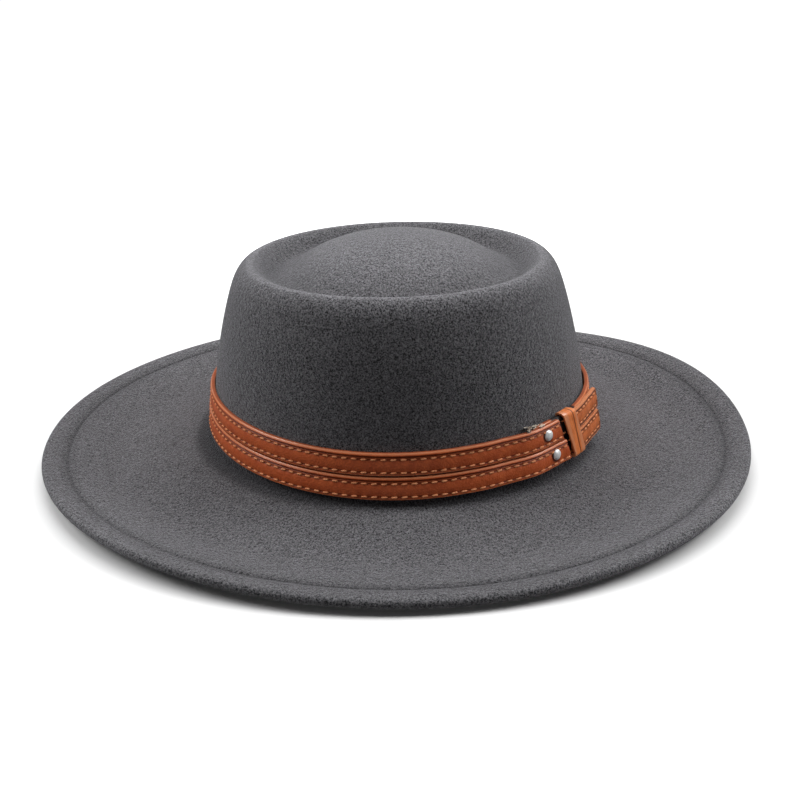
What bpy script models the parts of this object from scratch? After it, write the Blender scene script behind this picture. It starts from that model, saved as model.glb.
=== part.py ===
import math

import bmesh
import bpy
from mathutils import Vector

# Flat top fedora of stiff felt: a telescope crown with a low dome inside its rolled rim, a wide
# dished brim with a turned-under edge, and a hat band of two leather straps with a keeper.
# Metres, +Z up, the wearer's front along -Y, the wearer's left along +X, the floor at z = 0.

# Felt shell
HEAD_WIDTH = 0.1832  # outside of the crown across its foot
HEAD_LENGTH = 0.1974  # outside of the crown along its foot
FELT = 0.0022  # thickness of the felt
FOOT_LIFT = 0.0042  # underside of the brim above the floor at the crown's foot
CREST_HEIGHT = 0.0922  # top of the rolled rim
CREST_INSET = 0.0180  # how far the rim's top lies inside the foot at the front and the back
SIDE_INSET = 0.0219  # the same at the sides
WALL_FOOT = 0.0110  # height at which the crown's wall begins
CREST_LEAN = (0.0150, -0.0250)  # rise of the rim toward the left side and toward the back
CROWN_SET = (0.0019, 0.0022)  # set of the crown's foot over the brim's middle, left and back
CROWN_SHIFT = (-0.0009, 0.0010)  # set of the rim over the foot, left and back
CHANNEL_INSET = 0.0128  # from the rim's top in to the bottom of the channel
CHANNEL_DEPTH = 0.0080  # from the rim's top down to the bottom of the channel
DOME_RISE = 0.0191  # from the bottom of the channel up to the dome's top

OVAL_POWER = 2.056  # fullness of the oval at the rim and at the brim's edge, 2 is an ellipse

# Brim
BRIM_WIDTH = 0.0823  # from the crown's foot to the edge at the front and the back
BRIM_SIDE = 0.0784  # the same at the sides
EDGE_LIFT = 0.0070  # mean height of the middle of the turned edge
HEM_WIDTH = 0.0125  # width of the edge that is turned under
HEM_THICK = 0.0044  # thickness of the brim there
CREASE_DEPTH = 0.0005  # pressed line on top, over the end of the hem
CREASE_WIDTH = 0.0018

# Hat band
BAND_BOTTOM = 0.0118  # mean height of its lower edge
STRAP_WIDTH = 0.0099
STRAP_THICK = 0.0018
STRAP_GAP = 0.0006  # between the upper and the lower strap
STRAP_EDGE = 0.0005  # rounding of the straps' long edges
BAND_BOW = 0.0044  # how far the band bows off the crown beyond the keeper
CLEARANCE = 0.0003  # between pieces that lie on each other
STRAP_TURNS = (38.1, 408.8)  # where the upper strap begins and ends, degrees from the front
LOWER_TURNS = (41.0, 411.8)
END_SLANT = 3.8  # degrees by which a strap's end runs on toward its lower edge
SLANT_RUN = 30.0  # degrees over which the slant builds up

# Tail beyond the keeper
TAIL_TURNS = (55.0, 75.8)
TAIL_FLARE = 0.0011  # how much further its lower edge stands out at the end
TAIL_CORNER = 0.0022
TAIL_STATIONS = 8

# Keeper
KEEPER_TURN = 55.8
KEEPER_WIDTH = 0.0085
KEEPER_THICK = 0.0011
KEEPER_TILT = 2.1  # degrees by which its top runs toward the front
KEEPER_CORNER = 0.0022
CORNER_STEPS = 4

# Rivets
RIVET_TURNS = (43.6, 46.5)  # upper and lower
RIVET_HEAD = 0.0046
RIVET_DOME = 0.0008
RIVET_SHANK = 0.0022
RIVET_FOOT = 0.0036
RIVET_FOOT_THICK = 0.0003
RIVET_STEPS = 16
HOLE_REACH = 0.0020  # how far a rivet hole's cutter runs past the straps

SEGMENTS = 56
STATION_STEP = 7.0  # degrees between the straps' sections
FINE_STEP = 3.0  # the same where the strap leaves the crown
FINE_TURNS = (112.0, 376.0)  # fine before the first and after the second

# Crown, from the foot to the rim: share of the inset at the front and at the side, share of the
# wall's height
WALL_ROWS = [
    {"front": 0.000, "side": 0.000, "height": 0.000},
    {"front": 0.075, "side": 0.040, "height": 0.100},
    {"front": 0.135, "side": 0.085, "height": 0.220},
    {"front": 0.215, "side": 0.200, "height": 0.460},
    {"front": 0.320, "side": 0.385, "height": 0.680},
    {"front": 0.395, "side": 0.475, "height": 0.770},
    {"front": 0.480, "side": 0.560, "height": 0.850},
    {"front": 0.575, "side": 0.650, "height": 0.915},
    {"front": 0.700, "side": 0.755, "height": 0.962},
    {"front": 0.850, "side": 0.875, "height": 0.990},
    {"front": 1.000, "side": 1.000, "height": 1.000},
]

# Inner slope of the rim: share of the channel's inset, share of its depth
CHANNEL_ROWS = [
    {"inset": 0.18, "depth": 0.060},
    {"inset": 0.38, "depth": 0.270},
    {"inset": 0.60, "depth": 0.620},
    {"inset": 0.80, "depth": 0.890},
    {"inset": 1.00, "depth": 1.000},
]

# Dome: share of the channel's ring, share of the dome's rise
DOME_ROWS = [
    {"ring": 0.93, "rise": 0.110},
    {"ring": 0.86, "rise": 0.250},
    {"ring": 0.76, "rise": 0.440},
    {"ring": 0.64, "rise": 0.620},
    {"ring": 0.51, "rise": 0.760},
    {"ring": 0.38, "rise": 0.865},
    {"ring": 0.25, "rise": 0.940},
    {"ring": 0.12, "rise": 0.985},
]

# Brim, underside: share of the width, share of the foot's lift, share of the edge's lift. The hat
# rests on the flat ring where both lifts are nothing
BRIM_ROWS = [
    {"out": 0.060, "foot": 0.930, "edge": 0.000},
    {"out": 0.130, "foot": 0.760, "edge": 0.000},
    {"out": 0.220, "foot": 0.480, "edge": 0.000},
    {"out": 0.330, "foot": 0.200, "edge": 0.000},
    {"out": 0.430, "foot": 0.030, "edge": 0.000},
    {"out": 0.470, "foot": 0.000, "edge": 0.000},
    {"out": 0.540, "foot": 0.000, "edge": 0.000},
    {"out": 0.590, "foot": 0.000, "edge": 0.050},
    {"out": 0.680, "foot": 0.000, "edge": 0.230},
    {"out": 0.770, "foot": 0.000, "edge": 0.490},
]

# Height of the brim's edge round the hat from its left side: waves per turn, their parts
EDGE_WAVES = [
    {"turns": 1, "cosine": 0.00181, "sine": 0.00006},
    {"turns": 2, "cosine": 0.00216, "sine": 0.00139},
    {"turns": 3, "cosine": 0.00096, "sine": 0.00035},
    {"turns": 4, "cosine": -0.00042, "sine": 0.00078},
    {"turns": 5, "cosine": -0.00036, "sine": 0.00035},
]

# Height of the band round the hat from its front, in the same way
BAND_WAVES = [
    {"turns": 1, "cosine": 0.00000, "sine": -0.00028},
    {"turns": 2, "cosine": -0.00174, "sine": 0.00068},
]

# Fillet between wall and brim, outer face: distance out, height above the brim's top at the foot
FOOT_ROWS = [
    {"out": 0.0003, "height": 0.0024},
    {"out": 0.0013, "height": 0.0010},
    {"out": 0.0028, "height": 0.0002},
]

# What holds the band off the felt, by degrees from the front: strap layers beneath it, the keeper's
# back beneath it, and the free bow of the band, as shares of the bow's size
BAND_LAYER = [
    {"turn": 37.0, "straps": 0.00, "keeper": 0.00, "bow": 0.00},
    {"turn": 41.0, "straps": 0.00, "keeper": 0.45, "bow": 0.00},
    {"turn": 48.0, "straps": 0.00, "keeper": 0.45, "bow": 0.00},
    {"turn": 52.0, "straps": 0.00, "keeper": 1.07, "bow": 0.00},
    {"turn": 61.0, "straps": 0.00, "keeper": 1.07, "bow": 0.00},
    {"turn": 67.0, "straps": 0.00, "keeper": 0.90, "bow": 0.00},
    {"turn": 76.0, "straps": 0.00, "keeper": 0.65, "bow": 0.00},
    {"turn": 84.0, "straps": 0.00, "keeper": 0.40, "bow": 0.00},
    {"turn": 93.0, "straps": 0.00, "keeper": 0.20, "bow": 0.00},
    {"turn": 102.0, "straps": 0.00, "keeper": 0.00, "bow": 0.00},
    {"turn": 376.0, "straps": 0.00, "keeper": 0.00, "bow": 0.00},
    {"turn": 388.0, "straps": 0.30, "keeper": 0.00, "bow": 0.00},
    {"turn": 400.0, "straps": 1.00, "keeper": 0.55, "bow": 0.00},
    {"turn": 408.0, "straps": 1.00, "keeper": 0.55, "bow": 0.00},
    {"turn": 412.0, "straps": 1.00, "keeper": 1.10, "bow": 0.00},
    {"turn": 416.0, "straps": 1.00, "keeper": 1.15, "bow": 0.00},
]

# The same for the tail, which lies on the band
TAIL_LAYER = [
    {"turn": 51.0, "straps": 0.60, "keeper": 1.00, "bow": 0.00},
    {"turn": 55.0, "straps": 1.00, "keeper": 1.10, "bow": 0.00},
    {"turn": 61.0, "straps": 1.00, "keeper": 1.08, "bow": 0.00},
    {"turn": 67.6, "straps": 1.00, "keeper": 0.95, "bow": 0.00},
    {"turn": 71.7, "straps": 1.00, "keeper": 0.90, "bow": 0.16},
    {"turn": 75.8, "straps": 1.00, "keeper": 0.90, "bow": 0.31},
]

# Domed head of a rivet: share of its radius, share of the dome's height
RIVET_ROWS = [
    {"radius": 1.00, "height": 0.00},
    {"radius": 0.94, "height": 0.45},
    {"radius": 0.62, "height": 0.85},
]

# End of a tail: share of its corner left to the tip, share of the corner cut off its width
TAIL_END_ROWS = [
    {"left": 0.45, "cut": 0.28},
    {"left": 0.00, "cut": 1.00},
]


def clear_scene():
    for item in list(bpy.data.objects):
        bpy.data.objects.remove(item, do_unlink=True)


def new_collection(name):
    collection = bpy.data.collections.new(name)
    bpy.context.scene.collection.children.link(collection)
    return collection


def new_material(name, colour, roughness, metallic=0.0):
    material = bpy.data.materials.new(name)
    material.use_nodes = True
    shader = material.node_tree.nodes["Principled BSDF"]
    shader.inputs["Base Color"].default_value = (*colour, 1.0)
    shader.inputs["Roughness"].default_value = roughness
    shader.inputs["Metallic"].default_value = metallic
    material.diffuse_color = (*colour, 1.0)
    return material


def new_object(name, rings, collection, material, closed=False, poles=None):
    """Skin of equal rings of points; poles closes both ends on a point, otherwise with a cap."""
    mesh = bpy.data.meshes.new(name)
    bm = bmesh.new()
    rows = [[bm.verts.new(point) for point in ring] for ring in rings]
    count = len(rows[0])
    pairs = list(zip(rows, rows[1:]))
    if closed:
        pairs.append((rows[-1], rows[0]))
    for first, second in pairs:
        for i in range(count):
            j = (i + 1) % count
            bm.faces.new((first[i], first[j], second[j], second[i]))
    if poles:
        for row, point in zip((rows[0], rows[-1]), poles):
            tip = bm.verts.new(point)
            for i in range(count):
                bm.faces.new((row[i], row[(i + 1) % count], tip))
    elif not closed:
        bm.faces.new(rows[0])
        bm.faces.new(rows[-1])
    bmesh.ops.recalc_face_normals(bm, faces=bm.faces)
    bm.to_mesh(mesh)
    bm.free()
    mesh.materials.append(material)
    item = bpy.data.objects.new(name, mesh)
    collection.objects.link(item)
    return item


def table_value(rows, key, value, at):
    """Smooth value of a table between its rows."""
    if at <= rows[0][key]:
        return rows[0][value]
    for low, high in zip(rows, rows[1:]):
        if at <= high[key]:
            share = (at - low[key]) / (high[key] - low[key])
            share = share * share * (3.0 - 2.0 * share)
            return low[value] + (high[value] - low[value]) * share
    return rows[-1][value]


def layer_gap(rows, turn):
    """Gap from the felt to the inner face of a strap."""
    return (
        CLEARANCE
        + table_value(rows, "turn", "straps", turn) * (STRAP_THICK + CLEARANCE)
        + table_value(rows, "turn", "keeper", turn) * (KEEPER_THICK + CLEARANCE)
        + table_value(rows, "turn", "bow", turn) * BAND_BOW
    )


def wall_share(height):
    """Share of the wall's height, from its foot to the rim's top."""
    return min(max((height - WALL_FOOT) / (CREST_HEIGHT - WALL_FOOT), 0.0), 1.0)


def wall_inset(column, crest_inset, height):
    """Inset of the crown's wall from the foot at a height, on its front or its side line."""
    share = wall_share(height)
    for low, high in zip(WALL_ROWS, WALL_ROWS[1:]):
        if share <= high["height"]:
            part = (share - low["height"]) / (high["height"] - low["height"])
            return crest_inset * (low[column] + (high[column] - low[column]) * part)
    return crest_inset


def lean(x, y, z):
    """Sets a point of the crown over with its height, nothing at the wall's foot."""
    share = max(z - WALL_FOOT, 0.0) / (CREST_HEIGHT - WALL_FOOT)
    rise = share * share * (CREST_LEAN[0] * x + CREST_LEAN[1] * y)
    across = x + CROWN_SET[0] + CROWN_SHIFT[0] * share
    along = y + CROWN_SET[1] + CROWN_SHIFT[1] * share
    return (across, along, z + rise)


def wave_height(waves, angle):
    return sum(
        wave["cosine"] * math.cos(wave["turns"] * angle)
        + wave["sine"] * math.sin(wave["turns"] * angle)
        for wave in waves
    )


def oval(angle, share):
    """Unit oval: a plain ellipse at the crown's foot, fuller with the share."""
    power = 2.0 + (OVAL_POWER - 2.0) * share
    cosine, sine = math.cos(angle), math.sin(angle)
    scale = (abs(cosine) ** power + abs(sine) ** power) ** (-1.0 / power)
    return cosine * scale, sine * scale


def crown_ring(front, side, scale=1.0):
    """Ring of the crown through (inset, height) on its front line and on its side line."""
    ring = []
    for i in range(SEGMENTS):
        across, along = oval(2.0 * math.pi * i / SEGMENTS, wall_share(front[1]))
        x = (HEAD_WIDTH / 2.0 - side[0]) * scale * across
        y = (HEAD_LENGTH / 2.0 - front[0]) * scale * along
        share = across * across / (across * across + along * along)
        ring.append(lean(x, y, front[1] + (side[1] - front[1]) * share))
    return ring


def dome_ring(height, scale):
    """The channel's ring at a height, scaled toward the dome's top."""
    front = (CREST_INSET + CHANNEL_INSET, height)
    side = (SIDE_INSET + CHANNEL_INSET, height)
    return crown_ring(front, side, scale)


def brim_ring(out, height, edge_share):
    """Ring of the brim at a distance out from the crown's foot."""
    ring = []
    share = out / BRIM_WIDTH
    for i in range(SEGMENTS):
        angle = 2.0 * math.pi * i / SEGMENTS
        across, along = oval(angle, share)
        x = (HEAD_WIDTH / 2.0 + share * BRIM_SIDE) * across + CROWN_SET[0] * (1.0 - share)
        y = (HEAD_LENGTH / 2.0 + out) * along + CROWN_SET[1] * (1.0 - share)
        ring.append((x, y, height + edge_share * wave_height(EDGE_WAVES, angle)))
    return ring


def wall_profile(column, crest_inset):
    """Outer face of the crown from the foot's fillet to the channel: (inset, height)."""
    top = FOOT_LIFT + FELT
    points = [(-row["out"], top + row["height"]) for row in reversed(FOOT_ROWS)]
    span = CREST_HEIGHT - WALL_FOOT
    points += [(crest_inset * r[column], WALL_FOOT + span * r["height"]) for r in WALL_ROWS]
    points += [
        (crest_inset + CHANNEL_INSET * r["inset"], CREST_HEIGHT - CHANNEL_DEPTH * r["depth"])
        for r in CHANNEL_ROWS
    ]
    return points


def inner_profile(points):
    """The same line moved in by the felt's thickness, square to itself."""
    moved = []
    for i, point in enumerate(points):
        before = Vector(points[max(i - 1, 0)])
        after = Vector(points[min(i + 1, len(points) - 1)])
        along = (after - before).normalized()
        if i in (0, len(points) - 1):
            along = Vector((1.0, 0.0))
        moved.append((point[0] + along[1] * FELT, point[1] - along[0] * FELT))
    return moved


def make_felt_body(collection, material):
    lines = (wall_profile("front", CREST_INSET), wall_profile("side", SIDE_INSET))
    outer = list(zip(*lines))
    inner = list(zip(*[inner_profile(line) for line in lines]))
    channel_height = CREST_HEIGHT - CHANNEL_DEPTH
    dome_top = channel_height + DOME_RISE

    rings = []
    for row in reversed(DOME_ROWS):
        rings.append(dome_ring(channel_height + DOME_RISE * row["rise"], row["ring"]))
    rings += [crown_ring(front, side) for front, side in reversed(outer)]

    hem_start = BRIM_WIDTH - HEM_WIDTH
    top_rows = [(r["out"] * BRIM_WIDTH, r["foot"] * FOOT_LIFT, r["edge"]) for r in BRIM_ROWS]
    for out, foot, edge in top_rows:
        rings.append(brim_ring(out, foot + EDGE_LIFT * edge + FELT, edge))
    rings += hem_rings(hem_start)
    for out, foot, edge in reversed(top_rows):
        rings.append(brim_ring(out, foot + EDGE_LIFT * edge, edge))
    rings += [crown_ring(front, side) for front, side in inner[:2] + inner[2:-1:2]]
    rings.append(crown_ring(*inner[-1]))
    for row in DOME_ROWS[1::2]:
        rings.append(dome_ring(channel_height + DOME_RISE * row["rise"] - FELT, row["ring"]))

    poles = (lean(0.0, 0.0, dome_top), lean(0.0, 0.0, dome_top - FELT))
    return new_object("felt_body", rings, collection, material, poles=poles)


def brim_edge_share(out):
    """Share of the edge's lift between the last row of the brim and the edge."""
    last = BRIM_ROWS[-1]
    start = last["out"] * BRIM_WIDTH
    part = (out - start) / (BRIM_WIDTH - start)
    return last["edge"] + (1.0 - last["edge"]) * part


def hem_rings(hem_start):
    """Pressed line, hem and rounded edge, from the top of the brim round to its underside."""
    rings = []
    half = CREASE_WIDTH / 2.0
    for out, drop in ((-half, 0.0), (0.0, CREASE_DEPTH), (half, 0.0)):
        edge = brim_edge_share(hem_start + out)
        rings.append(brim_ring(hem_start + out, EDGE_LIFT * edge + FELT - drop, edge))
    radius = HEM_THICK / 2.0
    centre = BRIM_WIDTH - radius
    middle = FELT - radius
    for degrees in (90.0, 45.0, 0.0, -45.0, -90.0):
        turn = math.radians(degrees)
        out = centre + radius * math.cos(turn)
        edge = brim_edge_share(centre)
        height = EDGE_LIFT * edge + middle + radius * math.sin(turn)
        rings.append(brim_ring(out, height, edge))
    for out, thick in ((0.0, HEM_THICK), (-half, FELT)):
        edge = brim_edge_share(hem_start + out)
        rings.append(brim_ring(hem_start + out, EDGE_LIFT * edge + FELT - thick, edge))
    return rings


def band_point(turn, gap, height):
    """Point at a turn from the front, a gap from the crown's wall and a height of the band."""
    height += wave_height(BAND_WAVES, math.radians(turn))
    across, along = oval(math.radians(turn - 90.0), wall_share(height))
    side = wall_inset("side", SIDE_INSET, height)
    front = wall_inset("front", CREST_INSET, height)
    x = (HEAD_WIDTH / 2.0 - side + gap) * across
    y = (HEAD_LENGTH / 2.0 - front + gap) * along
    return lean(x, y, height)


def strap_section(bottom, width, thick):
    """Corners of a strap's cross-section: (gap from its inner face, height, share of height)."""
    edge = STRAP_EDGE
    corners = [
        (0.0, edge), (0.0, width - edge), (edge, width), (thick - edge, width),
        (thick, width - edge), (thick, edge), (thick - edge, 0.0), (edge, 0.0),
    ]
    return [(gap, bottom + height, height / width) for gap, height in corners]


def strap_stations(start, stop):
    """Turns of a strap's sections, closer together where its layers lie over each other."""
    stations = []
    ends = (start, *FINE_TURNS, stop)
    for low, high, step in zip(ends, ends[1:], (FINE_STEP, STATION_STEP, FINE_STEP)):
        count = max(1, round((high - low) / step))
        stations += [low + (high - low) * i / count for i in range(count)]
    return stations + [stop]


def make_strap(name, bottom, turns, collection, material):
    """One strap round the crown, its ends lying over each other in front of the keeper."""
    section = strap_section(bottom, STRAP_WIDTH, STRAP_THICK)
    start, stop = turns
    rings = []
    for turn in strap_stations(start, stop):
        gap = layer_gap(BAND_LAYER, turn)
        slant = END_SLANT * max(0.0, 1.0 - (stop - turn) / SLANT_RUN)
        rings.append([
            band_point(turn + slant * (0.5 - share), gap + out, height)
            for out, height, share in section
        ])
    return new_object(name, rings, collection, material)


def make_tail(name, bottom, collection, material):
    """Free end of one strap, standing off the crown beyond the keeper."""
    rings = []
    start, stop = TAIL_TURNS
    corner = math.degrees(TAIL_CORNER / (HEAD_WIDTH / 2.0))
    step = (stop - corner - start) / (TAIL_STATIONS - 1)
    stations = [(start + step * i, 0.0) for i in range(TAIL_STATIONS)]
    stations += [(stop - corner * r["left"], TAIL_CORNER * r["cut"]) for r in TAIL_END_ROWS]
    for turn, cut in stations:
        width = STRAP_WIDTH - 2.0 * cut
        section = strap_section(bottom + cut, width, STRAP_THICK)
        gap = layer_gap(TAIL_LAYER, turn)
        share = max(0.0, (turn - KEEPER_TURN) / (stop - KEEPER_TURN))
        ring = []
        for out, height, _ in section:
            low = 1.0 - (height - BAND_BOTTOM) / (2.0 * STRAP_WIDTH + STRAP_GAP)
            flare = TAIL_FLARE * share * low
            ring.append(band_point(turn, gap + out + flare, height))
        rings.append(ring)
    return new_object(name, rings, collection, material)


def make_keeper(collection, material):
    """Closed loop round both layers of the band, its front lying on the tail."""
    half = math.degrees(KEEPER_WIDTH / 2.0 / (HEAD_WIDTH / 2.0))
    first_turn = KEEPER_TURN - KEEPER_TILT - half
    back = layer_gap(BAND_LAYER, first_turn) - CLEARANCE
    bottom = BAND_BOTTOM - CLEARANCE
    top = BAND_BOTTOM + 2.0 * STRAP_WIDTH + STRAP_GAP + CLEARANCE
    middle = (bottom + top) / 2.0
    bend = KEEPER_CORNER - KEEPER_THICK
    corners = [(False, bottom + bend, 180.0), (True, bottom + bend, 270.0),
               (True, top - bend, 0.0), (False, top - bend, 90.0)]
    section = [(side, 0.0) for side in (-1, 0, 1)]
    section += [(side, KEEPER_THICK) for side in (1, 0, -1)]
    rings = []
    for front, height, first in corners:
        for step in range(CORNER_STEPS + 1):
            angle = math.radians(first + 90.0 * step / CORNER_STEPS)
            ring = []
            for side, depth in section:
                h = height + (bend + depth) * math.sin(angle)
                turn = KEEPER_TURN - KEEPER_TILT * (h - middle) / (top - middle) + side * half
                face = back + bend
                if front:
                    face = layer_gap(TAIL_LAYER, turn) + STRAP_THICK + CLEARANCE - bend
                ring.append(band_point(turn, face + (bend + depth) * math.cos(angle), h))
            rings.append(ring)
    return new_object("keeper", rings, collection, material, closed=True)


def rivet_frame(turn, height):
    """Place and outward direction of a rivet on the crown's wall."""
    place = Vector(band_point(turn, 0.0, height))
    along = Vector(band_point(turn + 1.0, 0.0, height)) - place
    up = Vector(band_point(turn, 0.0, height + STRAP_WIDTH / 2.0)) - place
    return place, along.cross(up).normalized()


def lathe(name, profile, place, outward, collection, material):
    """Closed solid turned about the outward direction: profile of (radius, distance)."""
    turn = outward.to_track_quat("Z", "Y")
    rings = []
    for radius, distance in profile[1:-1]:
        ring = []
        for i in range(RIVET_STEPS):
            angle = 2.0 * math.pi * i / RIVET_STEPS
            ring.append((radius * math.cos(angle), radius * math.sin(angle), distance))
        rings.append(ring)
    poles = ((0.0, 0.0, profile[0][1]), (0.0, 0.0, profile[-1][1]))
    item = new_object(name, rings, collection, material, poles=poles)
    item.location = place
    item.rotation_mode = "QUATERNION"
    item.rotation_quaternion = turn
    return item


def layer_face(turn):
    """Outer face of the outer layer of the band."""
    return layer_gap(BAND_LAYER, turn + 360.0) + STRAP_THICK


def make_rivet(name, turn, height, collection, material):
    place, outward = rivet_frame(turn, height)
    inner = layer_gap(BAND_LAYER, turn) - CLEARANCE
    end = inner - RIVET_FOOT_THICK
    seat = layer_face(turn) + CLEARANCE
    head = RIVET_HEAD / 2.0
    shank = RIVET_SHANK / 2.0
    foot = RIVET_FOOT / 2.0
    profile = [(0.0, end), (foot, end), (foot, inner), (shank, inner), (shank, seat)]
    profile += [(head * r["radius"], seat + RIVET_DOME * r["height"]) for r in RIVET_ROWS]
    profile.append((0.0, seat + RIVET_DOME))
    return lathe(name, profile, place, outward, collection, material)


def cut_rivet_hole(strap, turn, height, collection, material):
    """Hole for the rivet's shank through both layers of a strap."""
    place, outward = rivet_frame(turn, height)
    radius = RIVET_SHANK / 2.0 + CLEARANCE
    end = layer_face(turn) + HOLE_REACH
    profile = [(0.0, -HOLE_REACH), (radius, -HOLE_REACH), (radius, end), (0.0, end)]
    cutter = lathe(strap.name + "_hole", profile, place, outward, collection, material)
    cutter.display_type = "WIRE"
    cutter.hide_render = True
    cut = strap.modifiers.new("rivet_hole", "BOOLEAN")
    cut.operation = "DIFFERENCE"
    cut.solver = "EXACT"
    cut.object = cutter


def shade(item, degrees=30.0):
    for polygon in item.data.polygons:
        polygon.use_smooth = True
    bm = bmesh.new()
    bm.from_mesh(item.data)
    limit = math.radians(degrees)
    for edge in bm.edges:
        if len(edge.link_faces) == 2 and edge.calc_face_angle(0.0) > limit:
            edge.smooth = False
    bm.to_mesh(item.data)
    bm.free()


def main():
    clear_scene()
    parts = new_collection("flat_top_fedora")
    cutters = new_collection("cutters")
    cutters.hide_render = True
    felt = new_material("felt_grey", (0.045, 0.043, 0.046), 0.95)
    leather = new_material("leather_tan", (0.30, 0.085, 0.025), 0.55)
    steel = new_material("rivet_steel", (0.75, 0.75, 0.76), 0.2, 1.0)

    lower = BAND_BOTTOM
    upper = BAND_BOTTOM + STRAP_WIDTH + STRAP_GAP
    middle = STRAP_WIDTH / 2.0
    items = [
        make_felt_body(parts, felt),
        make_strap("strap_upper", upper, STRAP_TURNS, parts, leather),
        make_strap("strap_lower", lower, LOWER_TURNS, parts, leather),
        make_tail("tail_upper", upper, parts, leather),
        make_tail("tail_lower", lower, parts, leather),
        make_keeper(parts, leather),
        make_rivet("rivet_upper", RIVET_TURNS[0], upper + middle, parts, steel),
        make_rivet("rivet_lower", RIVET_TURNS[1], lower + middle, parts, steel),
    ]
    for item in items:
        shade(item)
    cut_rivet_hole(items[1], RIVET_TURNS[0], upper + middle, cutters, steel)
    cut_rivet_hole(items[2], RIVET_TURNS[1], lower + middle, cutters, steel)


main()
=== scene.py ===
import math
import random

import bmesh
import bpy
import numpy as np
from mathutils import Matrix, Vector


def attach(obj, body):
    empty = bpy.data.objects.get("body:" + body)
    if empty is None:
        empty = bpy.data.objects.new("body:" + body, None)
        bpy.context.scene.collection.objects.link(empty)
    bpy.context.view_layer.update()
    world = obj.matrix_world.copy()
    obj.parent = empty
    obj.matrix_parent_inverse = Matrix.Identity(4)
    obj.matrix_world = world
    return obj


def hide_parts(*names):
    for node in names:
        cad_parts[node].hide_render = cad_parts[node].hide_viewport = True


# Flat top fedora: the finished surfaces. Metres, +Z up, the wearer's front along -Y, the wearer's
# left along +X, the floor at z = 0

# Camera
CAMERA_AIM = (0.0021, 0.0032, 0.0184)
CAMERA_DISTANCE = 0.673
CAMERA_LIFT = 20.22  # degrees above the floor
CAMERA_ROLL = 0.69  # degrees
LENS = 61.1
SENSOR = 36.0

# Crown, where the band lies
HEAD_WIDTH = 0.1832
HEAD_LENGTH = 0.1974
CREST_HEIGHT = 0.0922
CREST_INSET = 0.0180
SIDE_INSET = 0.0219
WALL_FOOT = 0.0110
CREST_LEAN = (0.0150, -0.0250)
CROWN_SET = (0.0019, 0.0022)
CROWN_SHIFT = (-0.0009, 0.0010)
OVAL_POWER = 2.056
CREASE_PLACE = 0.9303  # pressed line on the brim, as a share of its half sizes
CREASE_REACH = 0.0030
CREASE_EXTRA = 0.0006
BRIM_HALF = (0.170, 0.181)
RIM_HALF = (0.0697, 0.0807)
FOOT_SHADOW_MIDDLE = (-0.0005, 0.0030)  # painted shadow round the crown's foot, its middle set off from the crown's
FOOT_SHADOW_HALF = (0.0930, 0.0995)

# Hat band
BAND_BOTTOM = 0.0118
STRAP_WIDTH = 0.0099
STRAP_THICK = 0.0018
STRAP_GAP = 0.0006
CLEARANCE = 0.0003
BAND_BOW = 0.0044
BAND_WAVES = ((1, 0.00000, -0.00028), (2, -0.00174, 0.00068))  # turns, cosine, sine
STRAP_TURNS = (38.1, 409.6)
LOWER_TURNS = (41.0, 412.2)
END_SLANT = 2.0
SLANT_RUN = 30.0
TAIL_TURNS = (55.0, 75.8)
TAIL_FLARE = 0.0011
TAIL_CORNER = 0.0026
KEEPER_TURN = 55.8
KEEPER_THICK = 0.0011
RIVET_TURNS = (43.6, 46.5)
RIVET_HEAD = 0.0050
RIVET_DOME = 0.0014
RIVET_FOOT = 0.0036
RIVET_FOOT_THICK = 0.0003
RIVET_SHANK = 0.0022
RIVET_STEPS = 6
RIVET_TOP = 0.93  # share of the dome at which it is left flat

# Finish of the straps: heights above a strap's lower edge, and sizes
LOW_STITCH = 0.0014
HIGH_STITCH = 0.0071
GROOVE = 0.0082
BEAD_MIDDLE = GROOVE + 0.0008
BEAD_RISE = 0.00030
GROOVE_DEPTH = 0.00042
PRESS_HALF = 0.0004  # half width of what is pressed in along a strap
BODY_PUFF = 0.00012
STRAP_ROUND = 0.00045
STITCH_SINK = 0.00016
HOLE_SINK = 2.6  # depth of a needle's hole, in sinks of a stitch
STITCH_PITCH = 0.0043
STITCH_LENGTH = 0.0030
STITCH_THICK = 0.00084
TAIL_LINE = 0.0021  # sewn line of the tails, in from their edges
TAIL_ROUND = 0.0004
TAIL_CUT = 0.0016  # length of the short runs that let a tail bend

# Steps of a tail's outer face, from its edge inward
TAIL_STEPS = [
    {"inset": 0.0005, "rise": 0.0},
    {"inset": 0.0009, "rise": BEAD_RISE * 0.4},
    {"inset": 0.0004, "rise": -GROOVE_DEPTH},
    {"inset": 0.0007, "rise": GROOVE_DEPTH * 0.9},
]

# Keeper's finish
KEEPER_LINE_DEPTH = 0.00030
KEEPER_LINE_HALF = 0.0005
KEEPER_LINE_EDGE = 0.0008  # edges shorter than this cross the pressed line
KEEPER_ROUND = 0.0002
KEEPER_RIM = 0.0031  # the loop's rims, out from its middle
KEEPER_FOLD = 0.0010  # its line of painted shade, out from its middle
KEEPER_SLOPE = 0.262  # how far it runs aside over its height
KEEPER_NARROW = 0.82  # the loop's shown width against the solid's
KEEPER_MOVE = 0.0003  # how far it is shown nearer the front

# Frayed threads at the upper strap's hidden start
STRAND_RADIUS = 0.00021
STRAND_LENGTH = 0.0030
STRAND_SIZES = (0.6, 1.2)
TUFT_TURNS = (37.2, 43.0)
TUFT_DEPTHS = (0.25, 0.95)  # as shares of the way from the felt to the band's outer face
TUFT_RISES = (0.0001, 0.0007)
TUFT_AIM = 35.0  # degrees to either side
TUFT_LEAN = 22.0

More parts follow.
